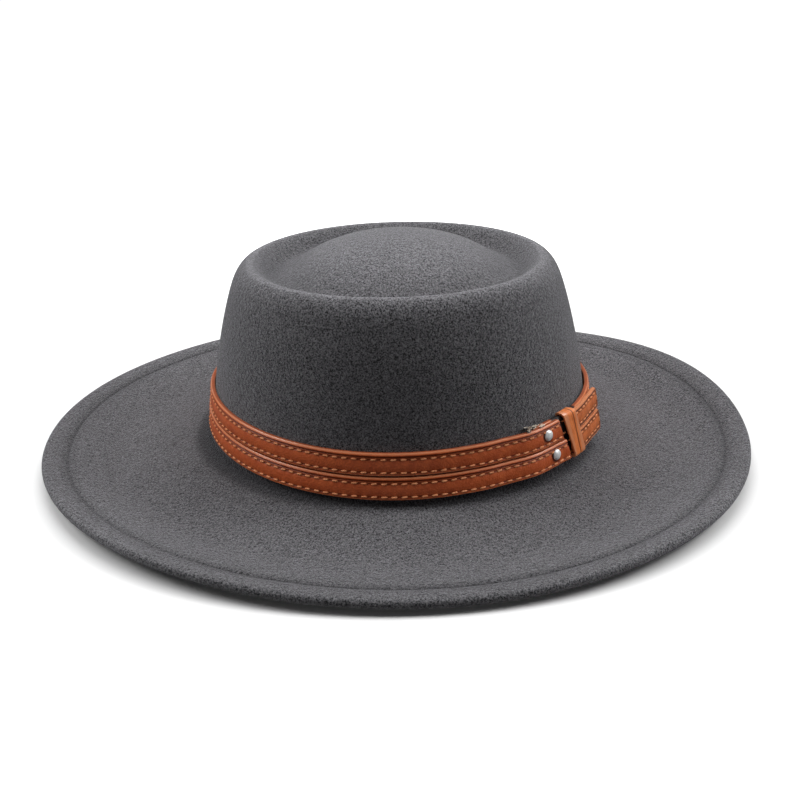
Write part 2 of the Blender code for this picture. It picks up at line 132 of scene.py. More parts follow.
# Leather's colours
DARK_TAN = (0.40, 0.062, 0.014)
LIGHT_TAN = (0.63, 0.132, 0.034)
# painted light: the tail and keeper are the straps' leather, given lighter tones for the light they
# catch
TAIL_LIT_DARK_TAN = (0.36, 0.075, 0.018)
TAIL_LIT_LIGHT_TAN = (0.78, 0.215, 0.060)
LOOP_LIT_DARK_TAN = (0.62, 0.135, 0.030)
LOOP_LIT_LIGHT_TAN = (0.95, 0.290, 0.085)
# partly the colour of rubbed edges, partly a painted highlight on the beads
EDGE_TAN_AND_HIGHLIGHT = (0.85, 0.32, 0.14)
# painted shadow: near black on the inner strap under and just before the keeper
KEEPER_SHADOW_TAN = (0.012, 0.006, 0.004)

# Lines in the leather's colour, by the flat map: painted shade in grooves, sewing lines and rivet rings
LINE_HALF = 0.0005
SEWN_HALF = 0.0008
TAIL_SEWN_HALF = 0.0012
TAIL_GROOVE = 0.0012
# pale beads: rubbed edge colour and a painted highlight
TAIL_BEAD = (0.0010, 0.0003)  # in from the edge: where the pale bead ends and where it is full
LOW_BEAD = (0.0006, 0.0002)
TOP_BEAD = 0.00035  # down from the top edge
TOP_BEAD_HALF = 0.0004
CUT_EDGE = 0.0002
# painted shade in a ring round each rivet's head
RIVET_SHADE_RING = 0.0010
KEEPER_SHADOW_BLEND = 0.002
RIM_BEAD = (0.0009, 0.0002)

# Felt's colours, each from its dark flecks to its light ones
DEEP_GREY = ((0.012, 0.012, 0.013), (0.196, 0.192, 0.204))
HIGH_GREY = ((0.015, 0.015, 0.016), (0.214, 0.210, 0.222))
# painted light: the paler grey of the crown's top, its rim and the brim's sides
LIT_GREY = ((0.034, 0.033, 0.036), (0.315, 0.310, 0.328))
# painted shade: the grey of the brim's crease and of the shadow round the crown's foot
SHADE_GREY = (0.020, 0.019, 0.021)

# Painted light and painted shade on the felt: heights and places where each begins and where it is
# full;
# half widths of lines as shares of the ovals that they follow
LIT_TOP_HEIGHTS = (0.084, 0.098)
CREST_HIGHLIGHT_HEIGHTS = (0.080, 0.086)
CREST_HIGHLIGHT_HALF = 0.040
LIT_BRIM_HEIGHTS = (0.035, 0.028)
LIT_BRIM_SIDES = (0.080, 0.130)
CREASE_SHADE_HALF = 0.008
VALLEY_SHADE_HALF = 0.030
FOOT_SHADOW_SHARES = (1.080, 1.015)
FOOT_SHADOW_HEIGHTS = (0.014, 0.009)

# Room
FLOOR_SIZE = 16.0
FLOOR_FADE = (0.22, 0.50)  # from the hat's middle, where the floor starts to fade and where it is white
ROOM_LIGHT = 0.035
LIGHT_AIM = (0.0, 0.0, 0.04)
SOFTBOXES = [
    {"name": "overhead_softbox", "place": (0.0, 0.34, 1.10), "size": 1.4, "energy": 13.2},
    {"name": "left_softbox", "place": (-0.80, 0.00, 0.65), "size": 0.6, "energy": 5.2},
    {"name": "right_softbox", "place": (0.80, 0.00, 0.65), "size": 0.6, "energy": 6.0},
    {"name": "front_softbox", "place": (0.00, -1.20, 0.30), "size": 0.6, "energy": 0.8},
]

# Crown's wall: share of the inset at the front and at the side, share of the wall's height
WALL_ROWS = [
    {"front": 0.000, "side": 0.000, "height": 0.000},
    {"front": 0.075, "side": 0.040, "height": 0.100},
    {"front": 0.135, "side": 0.085, "height": 0.220},
    {"front": 0.215, "side": 0.200, "height": 0.460},
    {"front": 0.320, "side": 0.385, "height": 0.680},
    {"front": 1.000, "side": 1.000, "height": 1.000},
]

# What holds the band off the felt, by degrees from the front: strap layers beneath it, the keeper's
# back beneath it, and the free bow of the band, as shares of the bow's size
BAND_LAYER = [
    {"turn": 37.0, "straps": 0.00, "keeper": 0.00, "bow": 0.00},
    {"turn": 41.0, "straps": 0.00, "keeper": 0.45, "bow": 0.00},
    {"turn": 48.0, "straps": 0.00, "keeper": 0.45, "bow": 0.00},
    {"turn": 52.0, "straps": 0.00, "keeper": 1.07, "bow": 0.00},
    {"turn": 61.0, "straps": 0.00, "keeper": 1.07, "bow": 0.00},
    {"turn": 67.0, "straps": 0.00, "keeper": 0.90, "bow": 0.00},
    {"turn": 76.0, "straps": 0.00, "keeper": 0.65, "bow": 0.00},
    {"turn": 84.0, "straps": 0.00, "keeper": 0.40, "bow": 0.00},
    {"turn": 93.0, "straps": 0.00, "keeper": 0.20, "bow": 0.00},
    {"turn": 102.0, "straps": 0.00, "keeper": 0.00, "bow": 0.00},
    {"turn": 376.0, "straps": 0.00, "keeper": 0.00, "bow": 0.00},
    {"turn": 388.0, "straps": 0.30, "keeper": 0.00, "bow": 0.00},
    {"turn": 400.0, "straps": 1.00, "keeper": 0.55, "bow": 0.00},
    {"turn": 408.0, "straps": 1.00, "keeper": 0.55, "bow": 0.00},
    {"turn": 412.0, "straps": 1.00, "keeper": 1.10, "bow": 0.00},
    {"turn": 416.0, "straps": 1.00, "keeper": 1.15, "bow": 0.00},
]

# The same for the tail, which lies on the band
TAIL_LAYER = [
    {"turn": 51.0, "straps": 0.60, "keeper": 1.00, "bow": 0.00},
    {"turn": 55.0, "straps": 1.00, "keeper": 1.10, "bow": 0.00},
    {"turn": 61.0, "straps": 1.00, "keeper": 1.08, "bow": 0.00},
    {"turn": 67.6, "straps": 1.00, "keeper": 0.95, "bow": 0.00},
    {"turn": 71.7, "straps": 1.00, "keeper": 0.90, "bow": 0.16},
    {"turn": 75.8, "straps": 1.00, "keeper": 0.90, "bow": 0.31},
]


# Working in edit mode

def deselect():
    bpy.ops.object.select_all(action="DESELECT")


def start_edit(piece):
    deselect()
    piece.select_set(True)
    bpy.context.view_layer.objects.active = piece
    bpy.ops.object.mode_set(mode="EDIT")


def end_edit():
    bpy.ops.object.mode_set(mode="OBJECT")


def pick(piece, kind, test):
    """Selects, in edit mode, the vertices, edges or faces for which the test holds."""
    bpy.ops.mesh.select_mode(type={"verts": "VERT", "edges": "EDGE", "faces": "FACE"}[kind])
    bpy.ops.mesh.select_all(action="DESELECT")
    mesh = bmesh.from_edit_mesh(piece.data)
    for item in getattr(mesh, kind):
        if test(item):
            item.select_set(True)
    mesh.select_flush_mode()
    bmesh.update_edit_mesh(piece.data)


def cut_across(places, axis):
    """Cuts the whole mesh square to an axis at each of the places."""
    for place in places:
        bpy.ops.mesh.select_all(action="SELECT")
        bpy.ops.mesh.bisect(plane_co=[place * part for part in axis], plane_no=axis)


def apply_modifiers(piece):
    deselect()
    piece.select_set(True)
    bpy.context.view_layer.objects.active = piece
    for modifier in list(piece.modifiers):
        bpy.ops.object.modifier_apply(modifier=modifier.name)


def settle(piece):
    """Puts the place, turn and size of the object into its mesh."""
    deselect()
    piece.select_set(True)
    bpy.context.view_layer.objects.active = piece
    bpy.ops.object.transform_apply(location=True, rotation=True, scale=True)


def named(name, material):
    piece = bpy.context.object
    piece.name = name
    piece.data.name = name
    piece.data.materials.clear()
    piece.data.materials.append(material)
    return piece


def shade(piece, degrees):
    deselect()
    piece.select_set(True)
    bpy.context.view_layer.objects.active = piece
    bpy.ops.object.shade_smooth_by_angle(angle=math.radians(degrees))


def join(pieces, name):
    deselect()
    for piece in pieces:
        piece.select_set(True)
    bpy.context.view_layer.objects.active = pieces[0]
    bpy.ops.object.join()
    pieces[0].name = name
    pieces[0].data.name = name
    return pieces[0]


# Lie of the band on the crown

def table_value(rows, key, value, at):
    """Smooth value of a table between its rows."""
    if at <= rows[0][key]:
        return rows[0][value]
    for low, high in zip(rows, rows[1:]):
        if at <= high[key]:
            share = (at - low[key]) / (high[key] - low[key])
            share = share * share * (3.0 - 2.0 * share)
            return low[value] + (high[value] - low[value]) * share
    return rows[-1][value]


def layer_gap(rows, turn):
    """Gap from the felt to the inner face of a strap."""
    return (
        CLEARANCE
        + table_value(rows, "turn", "straps", turn) * (STRAP_THICK + CLEARANCE)
        + table_value(rows, "turn", "keeper", turn) * (KEEPER_THICK + CLEARANCE)
        + table_value(rows, "turn", "bow", turn) * BAND_BOW
    )


def wall_share(height):
    return min(max((height - WALL_FOOT) / (CREST_HEIGHT - WALL_FOOT), 0.0), 1.0)


def wall_inset(column, crest_inset, height):
    share = wall_share(height)
    for low, high in zip(WALL_ROWS, WALL_ROWS[1:]):
        if share <= high["height"]:
            part = (share - low["height"]) / (high["height"] - low["height"])
            return crest_inset * (low[column] + (high[column] - low[column]) * part)
    return crest_inset


def band_point(turn, gap, height):
    """Point at a turn from the front, a gap from the crown's wall and a height of the band."""
    for waves, cosine, sine in BAND_WAVES:
        angle = waves * math.radians(turn)
        height += cosine * math.cos(angle) + sine * math.sin(angle)
    angle = math.radians(turn - 90.0)
    share = wall_share(height)
    power = 2.0 + (OVAL_POWER - 2.0) * share
    cosine, sine = math.cos(angle), math.sin(angle)
    scale = (abs(cosine) ** power + abs(sine) ** power) ** (-1.0 / power)
    side = wall_inset("side", SIDE_INSET, height)
    front = wall_inset("front", CREST_INSET, height)
    x = (HEAD_WIDTH / 2.0 - side + gap) * cosine * scale
    y = (HEAD_LENGTH / 2.0 - front + gap) * sine * scale
    rise = share * share * (CREST_LEAN[0] * x + CREST_LEAN[1] * y)
    across = x + CROWN_SET[0] + CROWN_SHIFT[0] * share
    along = y + CROWN_SET[1] + CROWN_SHIFT[1] * share
    return Vector((across, along, height + rise))


# Turn from the front against the length along the band
TURNS = np.arange(0.0, 451.0, 1.0)
MIDDLE_LINE = np.array([band_point(t, STRAP_THICK, BAND_BOTTOM + STRAP_WIDTH) for t in TURNS])
STEPS = np.linalg.norm(np.diff(MIDDLE_LINE, axis=0), axis=1)
LENGTHS = np.concatenate(([0.0], np.cumsum(STEPS)))


def turn_at(length):
    return float(np.interp(length, LENGTHS, TURNS))


def length_at(turn):
    return float(np.interp(turn, TURNS, LENGTHS))


def keep_flat_map(piece):
    """Keeps the flat place of each point, in metres, as the map that the leather's finish reads."""
    layer = piece.data.uv_layers.new(name="flat") if not piece.data.uv_layers else None
    layer = layer or piece.data.uv_layers[0]
    layer.name = "flat"
    for loop in piece.data.loops:
        point = piece.data.vertices[loop.vertex_index].co
        layer.data[loop.index].uv = (point.x, point.z)


def turn_out(piece):
    """Turns the faces outward again, because laying a piece round the crown mirrors it."""
    start_edit(piece)
    bpy.ops.mesh.select_all(action="SELECT")
    bpy.ops.mesh.flip_normals()
    end_edit()


def wrap_strap(piece, bottom, turns):
    """Lays a flat strap round the crown. Flat: x along, y out from the inner face, z up."""
    start, stop = turns
    for vertex in piece.data.vertices:
        along, out, height = vertex.co
        turn = turn_at(length_at(start) + along)
        slant = END_SLANT * max(0.0, 1.0 - (stop - turn) / SLANT_RUN)
        gap = layer_gap(BAND_LAYER, turn)
        turn += slant * (0.5 - height / STRAP_WIDTH)
        vertex.co = band_point(turn, gap + out, bottom + height)
    turn_out(piece)


def wrap_tail(piece, bottom):
    """Lays a flat tail over the band, standing off the crown toward its end."""
    start, stop = TAIL_TURNS
    for vertex in piece.data.vertices:
        along, out, height = vertex.co
        turn = turn_at(length_at(start) + along)
        share = max(0.0, (turn - KEEPER_TURN) / (stop - KEEPER_TURN))
        low = 1.0 - (bottom + height - BAND_BOTTOM) / (2.0 * STRAP_WIDTH + STRAP_GAP)
        gap = layer_gap(TAIL_LAYER, turn) + TAIL_FLARE * share * low
        vertex.co = band_point(turn, gap + out, bottom + height)
    turn_out(piece)


# Node groups

def new_group(name, inputs, outputs):
    group = bpy.data.node_groups.new(name, "ShaderNodeTree")
    for label, kind, value in inputs:
        socket = group.interface.new_socket(label, in_out="INPUT", socket_type=kind)
        if value is not None:
            socket.default_value = value
    for label, kind in outputs:
        group.interface.new_socket(label, in_out="OUTPUT", socket_type=kind)
    start = group.nodes.new("NodeGroupInput")
    end = group.nodes.new("NodeGroupOutput")
    return group, start, end


def add_node(tree, kind, values=None, **settings):
    node = tree.nodes.new(kind)
    for key, value in settings.items():
        setattr(node, key, value)
    for key, value in (values or {}).items():
        node.inputs[key].default_value = value
    return node


def make_grain_group():
    """Fine pebbled grain: a height and a speckle from two sizes of noise."""
    group, start, end = new_group(
        "fine_grain",
        [("Vector", "NodeSocketVector", None), ("Scale", "NodeSocketFloat", 1000.0),
         ("Roughness", "NodeSocketFloat", 0.6)],
        [("Height", "NodeSocketFloat"), ("Speckle", "NodeSocketFloat")],
    )
    link = group.links.new
    pebble = add_node(group, "ShaderNodeTexVoronoi", feature="SMOOTH_F1")
    noise = add_node(group, "ShaderNodeTexNoise", {"Detail": 4.0})
    double = add_node(group, "ShaderNodeMath", {1: 2.1}, operation="MULTIPLY")
    speckle = add_node(group, "ShaderNodeTexNoise", {"Detail": 2.0, "Roughness": 0.7})
    mix = add_node(group, "ShaderNodeMath", {1: 0.5}, operation="MULTIPLY_ADD")
    link(start.outputs["Vector"], pebble.inputs["Vector"])
    link(start.outputs["Vector"], noise.inputs["Vector"])
    link(start.outputs["Vector"], speckle.inputs["Vector"])
    link(start.outputs["Scale"], pebble.inputs["Scale"])
    link(start.outputs["Scale"], noise.inputs["Scale"])
    link(start.outputs["Scale"], double.inputs[0])
    link(double.outputs[0], speckle.inputs["Scale"])
    link(start.outputs["Roughness"], noise.inputs["Roughness"])
    link(pebble.outputs["Distance"], mix.inputs[0])
    link(noise.outputs["Fac"], mix.inputs[2])
    link(mix.outputs[0], end.inputs["Height"])
    link(speckle.outputs["Fac"], end.inputs["Speckle"])
    return group


def make_mottle_group():
    """Slow uneven tone, from 0 to 1, as dye and handling leave it."""
    group, start, end = new_group(
        "mottle",
        [("Vector", "NodeSocketVector", None), ("Scale", "NodeSocketFloat", 60.0)],
        [("Tone", "NodeSocketFloat")],
    )
    link = group.links.new
    noise = add_node(group, "ShaderNodeTexNoise", {"Detail": 3.0, "Roughness": 0.55})
    spread = add_node(
        group, "ShaderNodeMapRange", {"From Min": 0.3, "From Max": 0.7}, clamp=True
    )
    link(start.outputs["Vector"], noise.inputs["Vector"])
    link(start.outputs["Scale"], noise.inputs["Scale"])
    link(noise.outputs["Fac"], spread.inputs["Value"])
    link(spread.outputs["Result"], end.inputs["Tone"])
    return group


def place_group(tree, group, values=None):
    node = tree.nodes.new("ShaderNodeGroup")
    node.node_tree = group
    for key, value in (values or {}).items():
        node.inputs[key].default_value = value
    return node


def new_material(name, **values):
    material = bpy.data.materials.new(name)
    material.use_nodes = True
    shader = material.node_tree.nodes["Principled BSDF"]
    for key, value in values.items():
        shader.inputs[key.replace("_", " ")].default_value = value
    return material, material.node_tree, shader


def socket_named(node, label, kind):
    return [s for s in node.inputs if s.name == label and s.type == kind][0]


def mix_tones(tree, factor, first, second):
    """Mix of two colours by a mask; each colour is a socket or four numbers."""
    node = tree.nodes.new("ShaderNodeMix")
    node.data_type = "RGBA"
    tree.links.new(factor, node.inputs[0])
    for label, value in (("A", first), ("B", second)):
        socket = socket_named(node, label, "RGBA")
        if isinstance(value, bpy.types.NodeSocket):
            tree.links.new(value, socket)
        else:
            socket.default_value = (*value, 1.0)
    return [s for s in node.outputs if s.type == "RGBA"][0]


def mask(tree, value, low, high):
    """Smooth mask from 0 at the low value to 1 at the high value."""
    node = add_node(
        tree, "ShaderNodeMapRange", {"From Min": low, "From Max": high},
        interpolation_type="SMOOTHSTEP", clamp=True,
    )
    tree.links.new(value, node.inputs["Value"])
    return node.outputs["Result"]


def math_node(tree, operation, first, second=0.0):
    node = tree.nodes.new("ShaderNodeMath")
    node.operation = operation
    for socket, value in zip(node.inputs, (first, second)):
        if isinstance(value, bpy.types.NodeSocket):
            tree.links.new(value, socket)
        else:
            socket.default_value = value
    return node.outputs[0]


def scaled(tree, value, share):
    return math_node(tree, "MULTIPLY", value, share)


def greater(tree, first, second):
    return math_node(tree, "MAXIMUM", first, second)


def line_mask(tree, value, place, half):
    """Mask of a soft line where the value is near a place."""
    away = math_node(tree, "ABSOLUTE", math_node(tree, "SUBTRACT", value, place))
    return mask(tree, away, half, half * 0.4)


def bump(tree, shader, height, distance, strength=1.0):
    node = add_node(tree, "ShaderNodeBump", {"Distance": distance, "Strength": strength})
    tree.links.new(height, node.inputs["Height"])
    tree.links.new(node.outputs["Normal"], shader.inputs["Normal"])
    return node


def oval_share(tree, split, middle, half):
    """Share of an oval's half sizes at which a point lies, one on the oval itself."""
    parts = []
    for axis, centre, size in zip("XY", middle, half):
        part = math_node(tree, "SUBTRACT", split.outputs[axis], centre)
        part = math_node(tree, "ABSOLUTE", math_node(tree, "DIVIDE", part, size))
        parts.append(math_node(tree, "POWER", part, OVAL_POWER))
    return math_node(tree, "POWER", math_node(tree, "ADD", *parts), 1.0 / OVAL_POWER)


# Finishes

def painted_light_felt(tree, split):
    """Mask of painted light on the felt: paler on the crown's top and on the brim toward both sides,
    where the light falls, and a painted highlight along the crown's rim.
    """
    height = split.outputs["Z"]
    top = scaled(tree, mask(tree, height, *LIT_TOP_HEIGHTS), 0.75)
    rim_middle = [first + second for first, second in zip(CROWN_SET, CROWN_SHIFT)]
    rim_share = oval_share(tree, split, rim_middle, RIM_HALF)
    crest = math_node(tree, "MULTIPLY", line_mask(tree, rim_share, 1.0, CREST_HIGHLIGHT_HALF),
                      mask(tree, height, *CREST_HIGHLIGHT_HEIGHTS))
    aside = math_node(tree, "ABSOLUTE", split.outputs["X"])
    sides = math_node(tree, "MULTIPLY", mask(tree, height, *LIT_BRIM_HEIGHTS),
                      mask(tree, aside, *LIT_BRIM_SIDES))
    lit_mask = greater(tree, top, scaled(tree, crest, 0.95))
    return greater(tree, lit_mask, scaled(tree, sides, 0.32))


def painted_shade_felt(tree, split):
    """Mask of painted shade on the felt: in the brim's pressed line and the valley beside it, and a
    painted shadow in a ring round the crown's foot.
    """
    brim_share = oval_share(tree, split, (0.0, 0.0), BRIM_HALF)
    crease = scaled(tree, line_mask(tree, brim_share, CREASE_PLACE, CREASE_SHADE_HALF), 0.55)
    valley = scaled(tree, line_mask(tree, brim_share, CREASE_PLACE, VALLEY_SHADE_HALF), 0.22)
    foot_share = oval_share(tree, split, FOOT_SHADOW_MIDDLE, FOOT_SHADOW_HALF)
    foot = math_node(tree, "MULTIPLY", mask(tree, foot_share, *FOOT_SHADOW_SHARES),
                     mask(tree, split.outputs["Z"], *FOOT_SHADOW_HEIGHTS))
    return greater(tree, greater(tree, crease, valley), scaled(tree, foot, 0.7))


def make_felt(grain, mottle):
    """Pressed wool: dark and light flecks and small clumps; painted paler where light falls on the
    crown's top and the brim's sides, with a painted highlight along the rim; painted shade in the
    brim's pressed line and a painted shadow round the crown's foot.
    """
    material, tree, shader = new_material(
        "felt_grey", Roughness=1.0, Specular_IOR_Level=0.1, Sheen_Weight=0.60,
        Sheen_Roughness=0.3, Sheen_Tint=(0.80, 0.80, 0.84, 1.0),
    )
    link = tree.links.new
    point = add_node(tree, "ShaderNodeTexCoord").outputs["Object"]
    fine = place_group(tree, grain, {"Scale": 780.0, "Roughness": 0.75})
    slow = place_group(tree, mottle, {"Scale": 38.0})
    clump = add_node(tree, "ShaderNodeTexNoise", {"Scale": 1150.0, "Detail": 3.0, "Roughness": 0.7})
    lay = add_node(tree, "ShaderNodeMapping", {"Scale": (1.0, 0.62, 1.0)})
    link(point, lay.inputs["Vector"])
    link(point, slow.inputs["Vector"])
    link(lay.outputs["Vector"], fine.inputs["Vector"])
    link(lay.outputs["Vector"], clump.inputs["Vector"])
    split = add_node(tree, "ShaderNodeSeparateXYZ")
    link(point, split.inputs["Vector"])
    speck = mask(tree, fine.outputs["Speckle"], 0.41, 0.60)
    clot = mask(tree, clump.outputs["Fac"], 0.41, 0.60)
    tone = math_node(tree, "ADD", scaled(tree, speck, 0.6), scaled(tree, clot, 0.4))
    low = mix_tones(tree, tone, *DEEP_GREY)
    high = mix_tones(tree, tone, *HIGH_GREY)
    colour = mix_tones(tree, slow.outputs["Tone"], low, high)
    # painted light: paler on the crown's top and the brim's sides, and a painted highlight along the
    # rim
    colour = mix_tones(tree, painted_light_felt(tree, split), colour, mix_tones(tree, tone, *LIT_GREY))
    # painted shade in the brim's crease and valley, and a painted shadow round the crown's foot
    colour = mix_tones(tree, painted_shade_felt(tree, split), colour, SHADE_GREY)
    link(colour, shader.inputs["Base Color"])
    height = math_node(tree, "ADD", fine.outputs["Height"], clump.outputs["Fac"])
    bump(tree, shader, height, 0.0007)
    return material


def tail_lines(tree, along, height, length):
    """Masks of a tail's dark lines of painted shade and of its pale bead, rubbed paler and painted with
    highlight, which run round its free end.
    """
    side = math_node(tree, "MINIMUM", height, math_node(tree, "SUBTRACT", STRAP_WIDTH, height))
    inside = math_node(tree, "MINIMUM", side, math_node(tree, "SUBTRACT", length, along))
    sewn = scaled(tree, line_mask(tree, inside, TAIL_LINE, TAIL_SEWN_HALF), 0.55)
    lines = greater(tree, line_mask(tree, inside, TAIL_GROOVE, LINE_HALF), sewn)
    return lines, mask(tree, inside, *TAIL_BEAD)


def strap_lines(tree, flat, height, rivet):
    """Masks of a strap's dark lines of painted shade, with a darker top face and a ring of painted
    shade round its rivet, and of its pale beads, rubbed paler and painted with highlight.
    """
    lines = scaled(tree, line_mask(tree, height, GROOVE, LINE_HALF), 0.75)
    cut = scaled(tree, mask(tree, height, STRAP_WIDTH - CUT_EDGE, STRAP_WIDTH), 0.45)
    lines = greater(tree, lines, cut)
    for place in (LOW_STITCH, HIGH_STITCH):
        sewn = scaled(tree, line_mask(tree, height, place, SEWN_HALF), 0.55)
        lines = greater(tree, lines, sewn)
    reach = add_node(tree, "ShaderNodeVectorMath", {1: (*rivet, 0.0)}, operation="DISTANCE")
    tree.links.new(flat, reach.inputs[0])
    edge = RIVET_HEAD / 2.0
    lines = greater(tree, lines, mask(tree, reach.outputs["Value"], edge + RIVET_SHADE_RING, edge))
    top = line_mask(tree, height, STRAP_WIDTH - TOP_BEAD, TOP_BEAD_HALF)
    return lines, greater(tree, top, mask(tree, height, *LOW_BEAD))


def keeper_lines(tree, along):
    """Masks of the keeper's dark lengthwise line of painted shade and of its pale rims, rubbed paler
    and painted with highlight.
    """
    rims = math_node(tree, "ABSOLUTE", along)
    lines = scaled(tree, line_mask(tree, along, KEEPER_FOLD, LINE_HALF), 0.85)
    return lines, mask(tree, rims, *[KEEPER_RIM - part for part in RIM_BEAD])


def make_leather(name, grain, mottle, tones, tail=None, rivet=None, hidden=None):
    """Satin leather, uneven in tone, with painted shade in its pressed lines and painted highlight on
    its pale beads; the flat map places those.

    tail: a tail's length. rivet and hidden: the flat place of a strap's rivet, and the lengths from
    which and to which the strap is painted near black, a painted shadow under the keeper. Without them
    it is the keeper's."""
    material, tree, shader = new_material(name, Specular_IOR_Level=0.32, Coat_Roughness=0.2)
    dark, light = tones
    link = tree.links.new
    point = add_node(tree, "ShaderNodeTexCoord").outputs["Object"]
    fine = place_group(tree, grain, {"Scale": 1300.0, "Roughness": 0.55})
    slow = place_group(tree, mottle, {"Scale": 210.0})
    link(point, fine.inputs["Vector"])
    link(point, slow.inputs["Vector"])
    tone = math_node(tree, "ADD", scaled(tree, slow.outputs["Tone"], 0.6),
                     scaled(tree, fine.outputs["Speckle"], 0.5))
    colour = mix_tones(tree, tone, dark, light)
    flat = add_node(tree, "ShaderNodeUVMap", uv_map="flat").outputs["UV"]
    split = add_node(tree, "ShaderNodeSeparateXYZ")
    link(flat, split.inputs["Vector"])
    along, height = split.outputs["X"], split.outputs["Y"]
    if tail:
        lines, bead = tail_lines(tree, along, height, tail)
    elif rivet:
        lines, bead = strap_lines(tree, flat, height, rivet)
        start, stop = hidden
        under = math_node(tree, "MULTIPLY", mask(tree, along, start, start + KEEPER_SHADOW_BLEND),
                          mask(tree, along, stop, stop - KEEPER_SHADOW_BLEND))
        bead = math_node(tree, "MULTIPLY", bead, math_node(tree, "SUBTRACT", 1.0, under))
    else:
        lines, bead = keeper_lines(tree, along)
    # painted shade in the grooves, along the sewing, on the top face and round the rivet
    line_shade_tan = [part * 0.10 for part in dark]
    colour = mix_tones(tree, scaled(tree, lines, 0.85), colour, line_shade_tan)
    # pale beads: rubbed edge colour and painted highlight
    colour = mix_tones(tree, scaled(tree, bead, 0.7), colour, EDGE_TAN_AND_HIGHLIGHT)
    if rivet:
        # painted shadow on the inner strap under and just before the keeper
        colour = mix_tones(tree, under, colour, KEEPER_SHADOW_TAN)
    link(colour, shader.inputs["Base Color"])
    link(scaled(tree, bead, 0.9), shader.inputs["Coat Weight"])
    rough = add_node(tree, "ShaderNodeMapRange", {"To Min": 0.36, "To Max": 0.58})
    link(fine.outputs["Speckle"], rough.inputs["Value"])
    link(rough.outputs["Result"], shader.inputs["Roughness"])
    bump(tree, shader, fine.outputs["Height"], 0.00020)
    return material


def make_thread(name, mottle, dark, low, high):
    """Waxed sewing thread, its twist a fine slant."""
    material, tree, shader = new_material(name, Roughness=0.6)
    link = tree.links.new
    point = add_node(tree, "ShaderNodeTexCoord").outputs["Object"]
    slow = place_group(tree, mottle, {"Scale": 400.0})
    link(point, slow.inputs["Vector"])
    twist = add_node(
        tree, "ShaderNodeTexWave", {"Scale": 900.0, "Distortion": 1.0},
        wave_type="BANDS", bands_direction="DIAGONAL",
    )
    link(point, twist.inputs["Vector"])
    tone = mix_tones(tree, slow.outputs["Tone"], low, high)
    colour = mix_tones(tree, twist.outputs["Fac"], dark, tone)
    link(colour, shader.inputs["Base Color"])
    bump(tree, shader, twist.outputs["Fac"], 0.00008)
    return material


def make_steel(mottle):
    """Plated steel with faint rubbing, made partly diffuse near white: painted reflection for its
    bright shine.
    """
    material, tree, shader = new_material("rivet_steel", Metallic=0.35)
    link = tree.links.new
    point = add_node(tree, "ShaderNodeTexCoord").outputs["Object"]
    slow = place_group(tree, mottle, {"Scale": 900.0})
    link(point, slow.inputs["Vector"])
    # near-white base with little metal: painted reflection of the bright room
    colour = mix_tones(tree, slow.outputs["Tone"], (0.94, 0.94, 0.95), (1.00, 1.00, 0.99))
    link(colour, shader.inputs["Base Color"])
    rough = add_node(tree, "ShaderNodeMapRange", {"To Min": 0.30, "To Max": 0.42})
    link(slow.outputs["Tone"], rough.inputs["Value"])
    link(rough.outputs["Result"], shader.inputs["Roughness"])
    return material


# Pieces

CURVE_FULLNESS = 1.0021  # makes up what the subdivision draws the rings in
NEARLY = 0.00001  # points closer than this are taken as one


def copy_of(node, name, material):
    """Copy of a solid with its triangles merged and paired to four-sided faces."""
    deselect()
    piece = node.copy()
    piece.data = node.data.copy()
    for key in list(piece.keys()):
        del piece[key]
    piece.parent = None
    bpy.context.scene.collection.objects.link(piece)
    piece.name = name
    piece.data.name = name
    piece.data.materials.clear()
    piece.data.materials.append(material)
    start_edit(piece)
    bpy.ops.mesh.select_all(action="SELECT")
    bpy.ops.mesh.remove_doubles(threshold=NEARLY)
    bpy.ops.mesh.tris_convert_to_quads(
        face_threshold=math.radians(60.0), shape_threshold=math.radians(60.0)
    )
    end_edit()
    return piece


def on_crease(vertex):
    """Whether a vertex lies on top of the brim, in the bottom of its pressed line."""
    sum_of_shares = sum(
        abs(value / half) ** OVAL_POWER for value, half in zip(vertex.co.xy, BRIM_HALF)
    )
    share = sum_of_shares ** (1.0 / OVAL_POWER)
    return abs(share - CREASE_PLACE) < CREASE_REACH and vertex.normal.z > 0.0


def make_felt_hat(material):
    piece = copy_of(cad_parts["felt_body"], "felt_hat", material)
    start_edit(piece)
    pick(piece, "verts", on_crease)
    bpy.ops.transform.translate(value=(0.0, 0.0, -CREASE_EXTRA))
    bpy.ops.mesh.select_all(action="SELECT")
    bpy.ops.transform.resize(
        value=(CURVE_FULLNESS, CURVE_FULLNESS, 1.0), center_override=(0.0, 0.0, 0.0)
    )
    end_edit()
    smooth = piece.modifiers.new("smooth", "SUBSURF")
    smooth.levels = 2
    smooth.render_levels = 2
    apply_modifiers(piece)
    shade(piece, 60.0)
    return piece


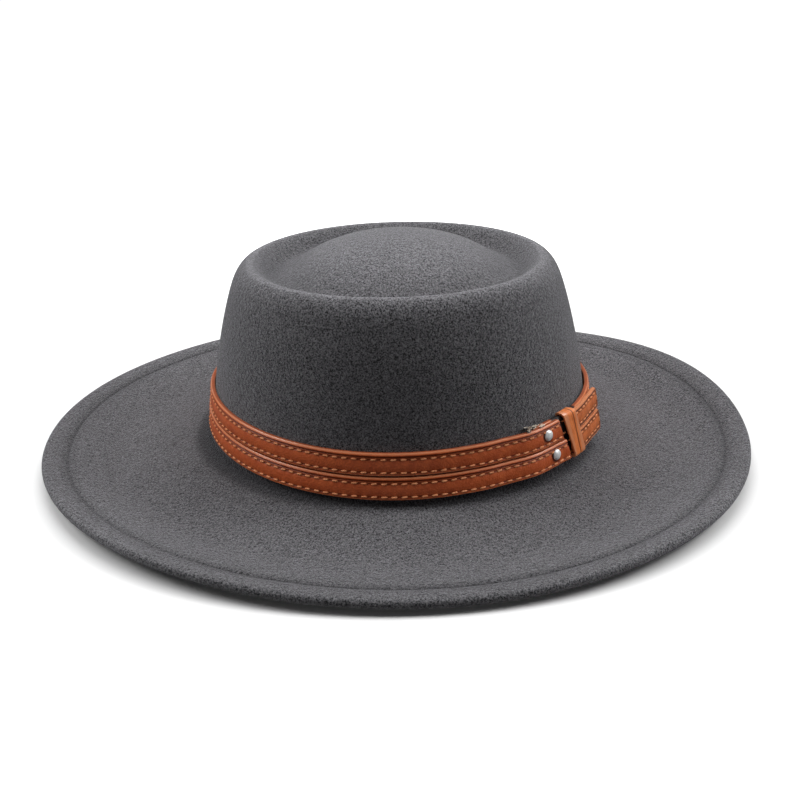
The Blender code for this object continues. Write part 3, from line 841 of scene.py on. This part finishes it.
def make_strap_run(length, material):
    """One stitch of the strap, shaped once and repeated along its length."""
    count = round(length / STITCH_PITCH)
    pitch = length / count
    deselect()
    bpy.ops.mesh.primitive_cube_add(
        size=1.0, location=(pitch / 2.0, STRAP_THICK / 2.0, STRAP_WIDTH / 2.0),
        scale=(pitch, STRAP_THICK, STRAP_WIDTH),
    )
    piece = named("strap", material)
    settle(piece)
    start_edit(piece)
    pick(piece, "faces", lambda face: abs(face.normal.x) > 0.9)
    bpy.ops.mesh.delete(type="ONLY_FACE")
    pick(piece, "edges", lambda edge: abs(edge.verts[0].co.x - edge.verts[1].co.x) > pitch / 2.0)
    bpy.ops.mesh.bevel(offset=STRAP_ROUND, segments=3, affect="EDGES")
    heights = []
    for middle in (LOW_STITCH, HIGH_STITCH, GROOVE):
        heights += [middle - PRESS_HALF, middle, middle + PRESS_HALF]
    heights += [(LOW_STITCH + HIGH_STITCH) / 2.0, BEAD_MIDDLE]
    cut_across(heights, (0.0, 0.0, 1.0))
    cut_across([pitch * share for share in (0.07, 0.3, 0.5, 0.7, 0.93)], (1.0, 0.0, 0.0))

    def press(height, depth, near=None):
        pick(piece, "verts", lambda vertex: vertex.co.y > STRAP_THICK - NEARLY
             and abs(vertex.co.z - height) < NEARLY
             and (near is None or near(vertex.co.x)))
        bpy.ops.transform.translate(value=(0.0, -depth, 0.0))

    press(GROOVE, GROOVE_DEPTH)
    press(BEAD_MIDDLE, -BEAD_RISE)
    press((LOW_STITCH + HIGH_STITCH) / 2.0, -BODY_PUFF)
    at_hole = lambda x: x < pitch * 0.1 or x > pitch * 0.9
    for height in (LOW_STITCH, HIGH_STITCH):
        press(height, STITCH_SINK, near=lambda x: not at_hole(x))
        press(height, STITCH_SINK * HOLE_SINK, near=at_hole)
    end_edit()
    repeat = piece.modifiers.new("repeat", "ARRAY")
    repeat.count = count
    repeat.use_relative_offset = False
    repeat.use_constant_offset = True
    repeat.constant_offset_displace = (pitch, 0.0, 0.0)
    repeat.use_merge_vertices = True
    repeat.merge_threshold = 2.0 * NEARLY
    apply_modifiers(piece)
    start_edit(piece)
    for end in (0.0, length):
        pick(piece, "edges", lambda edge: edge.is_boundary
             and all(abs(vertex.co.x - end) < 5.0 * NEARLY for vertex in edge.verts))
        bpy.ops.mesh.edge_face_add()
    bpy.ops.mesh.select_all(action="SELECT")
    bpy.ops.mesh.normals_make_consistent(inside=False)
    end_edit()
    return piece, pitch, count


def make_stitch(name, material):
    """One stitch lying along x, its ends drawn down into the leather."""
    deselect()
    bpy.ops.mesh.primitive_uv_sphere_add(segments=8, ring_count=8, radius=0.5)
    piece = named(name, material)
    start_edit(piece)
    bpy.ops.mesh.select_all(action="SELECT")
    bpy.ops.transform.rotate(
        value=math.pi / 2.0, orient_axis="Y", center_override=(0.0, 0.0, 0.0)
    )
    bpy.ops.transform.resize(
        value=(STITCH_LENGTH, STITCH_THICK, STITCH_THICK), center_override=(0.0, 0.0, 0.0)
    )
    pick(piece, "verts", lambda vertex: 0.1 < abs(vertex.co.x) / STITCH_LENGTH < 0.42)
    bpy.ops.transform.resize(value=(1.0, 1.15, 1.15), center_override=(0.0, 0.0, 0.0))
    pick(piece, "verts", lambda vertex: abs(vertex.co.x) > STITCH_LENGTH * 0.42)
    bpy.ops.transform.translate(value=(0.0, -STITCH_THICK * 0.35, 0.0))
    end_edit()
    return piece


def stitch_line(name, places, material):
    """Copies of one stitch at flat places: (along, out, height, turn in degrees)."""
    model = make_stitch(name, material)
    copies = []
    for along, out, height, turn in places:
        item = model.copy()
        item.data = model.data.copy()
        item.data.transform(
            Matrix.Translation((along, out, height))
            @ Matrix.Rotation(math.radians(-turn), 4, "Y")
        )
        bpy.context.scene.collection.objects.link(item)
        copies.append(item)
    bpy.data.objects.remove(model)
    return join(copies, name)


def make_strap(name, bottom, turns, leather, thread):
    start, stop = turns
    length = length_at(stop) - length_at(start)
    strap, pitch, count = make_strap_run(length, leather)
    strap.name = name
    strap.data.name = name
    keep_flat_map(strap)
    places = []
    for height in (LOW_STITCH, HIGH_STITCH):
        for i in range(count):
            out = STRAP_THICK + STITCH_THICK * 0.12 - STITCH_SINK
            lean = 3.0 * math.sin(i * 2.4)
            places.append((pitch * (i + 0.5), out, height, 4.0 + lean))
    stitches = stitch_line(name + "_stitches", places, thread)
    for piece in (strap, stitches):
        wrap_strap(piece, bottom, turns)
        shade(piece, 40.0)
    return strap, stitches


def make_tail(name, bottom, leather, thread):
    start, stop = TAIL_TURNS
    length = length_at(stop) - length_at(start)
    deselect()
    bpy.ops.mesh.primitive_cube_add(
        size=1.0, location=(length / 2.0, STRAP_THICK / 2.0, STRAP_WIDTH / 2.0),
        scale=(length, STRAP_THICK, STRAP_WIDTH),
    )
    piece = named(name, leather)
    settle(piece)
    start_edit(piece)
    pick(piece, "edges", lambda edge: all(vertex.co.x > length / 2.0 for vertex in edge.verts)
         and abs(edge.verts[0].co.y - edge.verts[1].co.y) > STRAP_THICK / 2.0)
    bpy.ops.mesh.bevel(offset=TAIL_CORNER, segments=5, affect="EDGES")
    pick(piece, "faces", lambda face: face.normal.y > 0.9)
    for step in TAIL_STEPS:
        bpy.ops.mesh.inset(thickness=step["inset"])
        bpy.ops.transform.translate(value=(0.0, step["rise"], 0.0))
    cuts = round(length / TAIL_CUT)
    cut_across([length * i / cuts for i in range(1, cuts)], (1.0, 0.0, 0.0))
    pick(piece, "edges", lambda edge: len(edge.link_faces) == 2
         and edge.calc_face_angle(0.0) > 1.0)
    bpy.ops.mesh.bevel(offset=TAIL_ROUND, segments=3, affect="EDGES")
    bpy.ops.mesh.select_all(action="SELECT")
    bpy.ops.mesh.remove_doubles(threshold=NEARLY)
    bpy.ops.mesh.dissolve_degenerate(threshold=NEARLY)
    end_edit()
    keep_flat_map(piece)
    places = []
    out = STRAP_THICK + STITCH_THICK * 0.1 - STITCH_SINK
    count = int((length - TAIL_LINE) / STITCH_PITCH)
    for height in (TAIL_LINE, STRAP_WIDTH - TAIL_LINE):
        for i in range(count):
            along = length - TAIL_LINE - TAIL_CORNER * 0.4 - STITCH_PITCH * (i + 0.5)
            places.append((along, out, height, 0.0))
    places.append((length - TAIL_LINE, out, STRAP_WIDTH / 2.0, 90.0))
    stitches = stitch_line(name + "_stitches", places, thread)
    for item in (piece, stitches):
        wrap_tail(item, bottom)
        shade(item, 40.0)
    return piece, stitches


def in_face(edge, centre, across):
    """Whether an edge of the loop runs lengthwise inside its outer face."""
    if len(edge.link_faces) != 2 or edge.calc_face_angle(0.0) > math.radians(20.0):
        return False
    run = (edge.verts[1].co - edge.verts[0].co).normalized()
    if abs(run.dot(across)) > 0.5:
        return False
    normals = [face.normal for face in edge.link_faces]
    middle = (edge.verts[0].co + edge.verts[1].co) / 2.0 - centre
    middle -= across * middle.dot(across)
    return all(abs(normal.dot(across)) < 0.4 and normal.dot(middle) > 0.0 for normal in normals)


def make_keeper(leather):
    """Folded leather loop with a line pressed lengthwise in its outer face."""
    piece = copy_of(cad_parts["keeper"], "keeper_loop", leather)
    centre = sum((vertex.co for vertex in piece.data.vertices), Vector()) / len(piece.data.vertices)
    across = Vector(band_point(KEEPER_TURN + 1.0, 0.0, BAND_BOTTOM)) - Vector(
        band_point(KEEPER_TURN, 0.0, BAND_BOTTOM))
    across.z = 0.0
    across.normalize()
    turn = math.atan2(across.y, across.x)
    start_edit(piece)
    bpy.ops.mesh.select_all(action="SELECT")
    bpy.ops.transform.rotate(value=-turn, orient_axis="Z", center_override=centre)
    bpy.ops.transform.resize(value=(KEEPER_NARROW, 1.0, 1.0), center_override=centre)
    bpy.ops.transform.rotate(value=turn, orient_axis="Z", center_override=centre)
    bpy.ops.transform.translate(value=-across * KEEPER_MOVE)
    pick(piece, "edges", lambda edge: len(edge.link_faces) == 2
         and edge.calc_face_angle(0.0) > math.radians(60.0))
    bpy.ops.mesh.bevel(offset=KEEPER_ROUND, segments=2, affect="EDGES")
    pick(piece, "edges", lambda edge: in_face(edge, centre, across))
    bpy.ops.mesh.bevel(offset=KEEPER_LINE_HALF, segments=2, affect="EDGES")
    pick(piece, "verts", lambda vertex: sum(
        in_face(edge, centre, across) for edge in vertex.link_edges
    ) == 2 and all(edge.calc_length() < KEEPER_LINE_EDGE for edge in vertex.link_edges
                   if not in_face(edge, centre, across)))
    bpy.ops.transform.shrink_fatten(value=-KEEPER_LINE_DEPTH)
    end_edit()
    smooth = piece.modifiers.new("smooth", "SUBSURF")
    smooth.levels = 2
    smooth.render_levels = 2
    apply_modifiers(piece)
    layer = piece.data.uv_layers[0] if piece.data.uv_layers else piece.data.uv_layers.new()
    layer.name = "flat"
    for loop in piece.data.loops:
        place = piece.data.vertices[loop.vertex_index].co - centre + across * KEEPER_MOVE
        aside = place.dot(across) + KEEPER_SLOPE * place.z
        layer.data[loop.index].uv = (aside, place.z)
    shade(piece, 50.0)
    return piece


def make_strand(name, length, material):
    """One frayed thread along x, bent a little."""
    deselect()
    bpy.ops.mesh.primitive_cylinder_add(
        vertices=6, radius=STRAND_RADIUS, depth=length, rotation=(0.0, math.pi / 2.0, 0.0)
    )
    piece = named(name, material)
    settle(piece)
    start_edit(piece)
    cut_across([length * share for share in (-0.3, -0.1, 0.1, 0.3)], (1.0, 0.0, 0.0))
    pick(piece, "verts", lambda vertex: abs(vertex.co.x) < length * 0.2)
    bpy.ops.transform.translate(value=(0.0, 0.0, length * 0.12))
    pick(piece, "verts", lambda vertex: vertex.co.x > length * 0.4)
    bpy.ops.transform.resize(value=(1.0, 0.5, 0.5), center_override=(length / 2.0, 0.0, 0.0))
    end_edit()
    return piece


def make_tuft(name, count, spread, seed, material):
    """Frayed threads at the hidden start of the upper strap, lying over its top edge."""
    chance = random.Random(seed)
    model = make_strand(name, STRAND_LENGTH, material)
    copies = []
    top = BAND_BOTTOM + 2.0 * STRAP_WIDTH + STRAP_GAP
    for _ in range(count):
        item = model.copy()
        item.data = model.data.copy()
        turn = chance.uniform(*spread)
        out = layer_face(turn) * chance.uniform(*TUFT_DEPTHS)
        place = band_point(turn, out, top + chance.uniform(*TUFT_RISES))
        aim = math.radians(turn + chance.uniform(-TUFT_AIM, TUFT_AIM))
        size = chance.uniform(*STRAND_SIZES)
        item.data.transform(
            Matrix.Translation(place) @ Matrix.Rotation(aim, 4, "Z")
            @ Matrix.Rotation(math.radians(chance.uniform(-TUFT_LEAN, TUFT_LEAN)), 4, "Y")
            @ Matrix.Rotation(math.radians(chance.uniform(-90.0, 90.0)), 4, "X")
            @ Matrix.Diagonal((size, 1.0, 1.0, 1.0))
        )
        bpy.context.scene.collection.objects.link(item)
        copies.append(item)
    bpy.data.objects.remove(model)
    piece = join(copies, name)
    shade(piece, 50.0)
    return piece


def layer_face(turn):
    """Outer face of the outer layer of the band."""
    return layer_gap(BAND_LAYER, turn + 360.0) + STRAP_THICK


def make_rivet(name, turn, height, material):
    """Domed rivet through both layers, turned about its own axis."""
    place = band_point(turn, 0.0, height)
    along = band_point(turn + 1.0, 0.0, height) - place
    up = band_point(turn, 0.0, height + STRAP_WIDTH / 2.0) - place
    outward = along.cross(up).normalized()
    inner = layer_gap(BAND_LAYER, turn) - CLEARANCE
    seat = layer_face(turn) + CLEARANCE
    deselect()
    bpy.ops.mesh.primitive_cylinder_add(
        vertices=32, radius=RIVET_SHANK / 2.0, depth=seat - inner,
        location=(0.0, 0.0, (seat + inner) / 2.0),
    )
    piece = named(name, material)
    settle(piece)
    start_edit(piece)
    pick(piece, "faces", lambda face: face.normal.z < -0.9)
    bpy.ops.mesh.inset(thickness=0.0001)
    bpy.ops.mesh.extrude_region_move(TRANSFORM_OT_translate={"value": (0.0, 0.0, 0.0)})
    bpy.ops.transform.resize(
        value=[RIVET_FOOT / RIVET_SHANK] * 2 + [1.0], center_override=(0.0, 0.0, inner)
    )
    bpy.ops.mesh.extrude_region_move(
        TRANSFORM_OT_translate={"value": (0.0, 0.0, -RIVET_FOOT_THICK)}
    )
    pick(piece, "faces", lambda face: face.normal.z > 0.9 and face.calc_center_median().z > inner)
    bpy.ops.mesh.extrude_region_move(TRANSFORM_OT_translate={"value": (0.0, 0.0, 0.0)})
    bpy.ops.transform.resize(
        value=[RIVET_HEAD / RIVET_SHANK] * 2 + [1.0], center_override=(0.0, 0.0, seat)
    )
    for i in range(1, RIVET_STEPS + 1):
        low = math.sin(math.pi / 2.0 * (i - 1) / RIVET_STEPS)
        high = math.sin(math.pi / 2.0 * i / RIVET_STEPS)
        shrink = math.cos(math.pi / 2.0 * min(i / RIVET_STEPS, RIVET_TOP))
        before = math.cos(math.pi / 2.0 * (i - 1) / RIVET_STEPS)
        bpy.ops.mesh.extrude_region_move(
            TRANSFORM_OT_translate={"value": (0.0, 0.0, RIVET_DOME * (high - low))}
        )
        bpy.ops.transform.resize(
            value=(shrink / before, shrink / before, 1.0),
            center_override=(0.0, 0.0, seat + RIVET_DOME * high),
        )
    end_edit()
    piece.rotation_mode = "QUATERNION"
    piece.rotation_quaternion = outward.to_track_quat("Z", "Y")
    piece.location = place
    settle(piece)
    shade(piece, 35.0)
    return piece


# Room

def make_floor():
    """Pale table that fades to white away from the hat and throws little light back on it."""
    deselect()
    bpy.ops.mesh.primitive_plane_add(size=FLOOR_SIZE)
    floor, tree, shader = new_material("floor_white", Roughness=1.0, Specular_IOR_Level=0.0)
    link = tree.links.new
    path = add_node(tree, "ShaderNodeLightPath")
    seen = path.outputs["Is Camera Ray"]
    colour = mix_tones(tree, seen, (0.30, 0.30, 0.30), (0.95, 0.95, 0.95))
    link(colour, shader.inputs["Base Color"])
    point = add_node(tree, "ShaderNodeTexCoord").outputs["Object"]
    away = add_node(tree, "ShaderNodeVectorMath", operation="LENGTH")
    link(point, away.inputs[0])
    far = mask(tree, away.outputs["Value"], *FLOOR_FADE)
    shader.inputs["Emission Color"].default_value = (1.0, 1.0, 1.0, 1.0)
    link(math_node(tree, "MULTIPLY", far, seen), shader.inputs["Emission Strength"])
    piece = named("floor", floor)
    return piece


def add_softbox(name, place, size, energy):
    """Round soft light aimed at the hat."""
    deselect()
    aim = Vector(LIGHT_AIM) - Vector(place)
    bpy.ops.object.light_add(
        type="AREA", location=place, rotation=aim.to_track_quat("-Z", "Y").to_euler()
    )
    light = bpy.context.object
    light.name = name
    light.data.shape = "DISK"
    light.data.size = size
    light.data.energy = energy


def make_lights():
    """Round soft lights in a room that is dark round the hat and white to the camera."""
    world = bpy.data.worlds.new("studio")
    bpy.context.scene.world = world
    world.use_nodes = True
    background = world.node_tree.nodes["Background"]
    background.inputs["Color"].default_value = (1.0, 1.0, 1.0, 1.0)
    seen = add_node(world.node_tree, "ShaderNodeLightPath").outputs["Is Camera Ray"]
    bright = add_node(
        world.node_tree, "ShaderNodeMath", {1: 1.0 - ROOM_LIGHT, 2: ROOM_LIGHT},
        operation="MULTIPLY_ADD",
    )
    world.node_tree.links.new(seen, bright.inputs[0])
    world.node_tree.links.new(bright.outputs[0], background.inputs["Strength"])
    for softbox in SOFTBOXES:
        add_softbox(**softbox)


def make_camera():
    lift = math.radians(CAMERA_LIFT)
    forward = Vector((0.0, math.cos(lift), -math.sin(lift)))
    place = Vector(CAMERA_AIM) - forward * CAMERA_DISTANCE
    deselect()
    bpy.ops.object.camera_add()
    camera = bpy.context.object
    camera.matrix_world = (
        Matrix.Translation(place)
        @ Matrix.Rotation(math.pi / 2.0 - lift, 4, "X")
        @ Matrix.Rotation(-math.radians(CAMERA_ROLL), 4, "Z")
    )
    camera.data.lens = LENS
    camera.data.sensor_width = SENSOR
    camera.data.clip_start = 0.01
    camera.data.clip_end = 60.0
    bpy.context.scene.camera = camera


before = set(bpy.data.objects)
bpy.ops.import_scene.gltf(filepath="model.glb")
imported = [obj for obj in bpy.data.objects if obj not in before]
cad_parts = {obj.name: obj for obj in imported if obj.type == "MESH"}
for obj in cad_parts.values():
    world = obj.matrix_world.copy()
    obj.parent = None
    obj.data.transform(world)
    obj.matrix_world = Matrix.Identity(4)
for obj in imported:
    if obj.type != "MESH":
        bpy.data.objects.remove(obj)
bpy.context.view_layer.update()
bpy.context.scene.view_settings.view_transform = "Standard"

make_camera()
make_floor()
make_lights()

grain = make_grain_group()
mottle = make_mottle_group()
felt = make_felt(grain, mottle)
thread = make_thread(
    "thread_tan", mottle, (0.60, 0.17, 0.06), (0.98, 0.34, 0.12), (1.00, 0.48, 0.22)
)
cream_thread = make_thread(
    "thread_cream", mottle, (0.60, 0.50, 0.38), (0.85, 0.74, 0.58), (0.98, 0.93, 0.84)
)
dark_thread = make_thread(
    "thread_dark", mottle, (0.010, 0.008, 0.007), (0.03, 0.02, 0.015), (0.07, 0.04, 0.03)
)
steel = make_steel(mottle)

lower = BAND_BOTTOM
upper = BAND_BOTTOM + STRAP_WIDTH + STRAP_GAP
hat = make_felt_hat(felt)
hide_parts("felt_body")
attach(hat, "root")

for name, bottom, turns, rivet_turn in (
    ("upper_strap", upper, STRAP_TURNS, RIVET_TURNS[0]),
    ("lower_strap", lower, LOWER_TURNS, RIVET_TURNS[1]),
):
    start = length_at(turns[0])
    leather = make_leather(
        name + "_leather", grain, mottle, (DARK_TAN, LIGHT_TAN),
        rivet=(length_at(rivet_turn + 360.0) - start, STRAP_WIDTH / 2.0),
        # span of the inner strap painted near black as shadow under the keeper
        hidden=(length_at(turns[1] - 363.0) - start, length_at(KEEPER_TURN + 4.0) - start),
    )
    strap, stitches = make_strap(name, bottom, turns, leather, thread)
    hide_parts("strap_upper" if bottom == upper else "strap_lower")
    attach(strap, "root")
    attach(stitches, "root")

# lighter tones of the straps' leather: painted light
tail_leather = make_leather(
    "tail_leather", grain, mottle, (TAIL_LIT_DARK_TAN, TAIL_LIT_LIGHT_TAN),
    tail=length_at(TAIL_TURNS[1]) - length_at(TAIL_TURNS[0]),
)
for name, bottom, node in (("upper_tail", upper, "tail_upper"), ("lower_tail", lower, "tail_lower")):
    tail, stitches = make_tail(name, bottom, tail_leather, thread)
    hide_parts(node)
    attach(tail, "root")
    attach(stitches, "root")

# lighter tones of the straps' leather: painted light
keeper_leather = make_leather("keeper_leather", grain, mottle, (LOOP_LIT_DARK_TAN, LOOP_LIT_LIGHT_TAN))
keeper = make_keeper(keeper_leather)
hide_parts("keeper")
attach(keeper, "root")

for tuft in (
    make_tuft("cream_tuft", 18, TUFT_TURNS, 3, cream_thread),
    make_tuft("dark_tuft", 14, (TUFT_TURNS[0] - 1.0, TUFT_TURNS[1] - 2.5), 8, dark_thread),
):
    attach(tuft, "root")

middle = STRAP_WIDTH / 2.0
for name, turn, bottom, node in (
    ("upper_rivet", RIVET_TURNS[0], upper, "rivet_upper"),
    ("lower_rivet", RIVET_TURNS[1], lower, "rivet_lower"),
):
    rivet = make_rivet(name, turn, bottom + middle, steel)
    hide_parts(node)
    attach(rivet, "root")
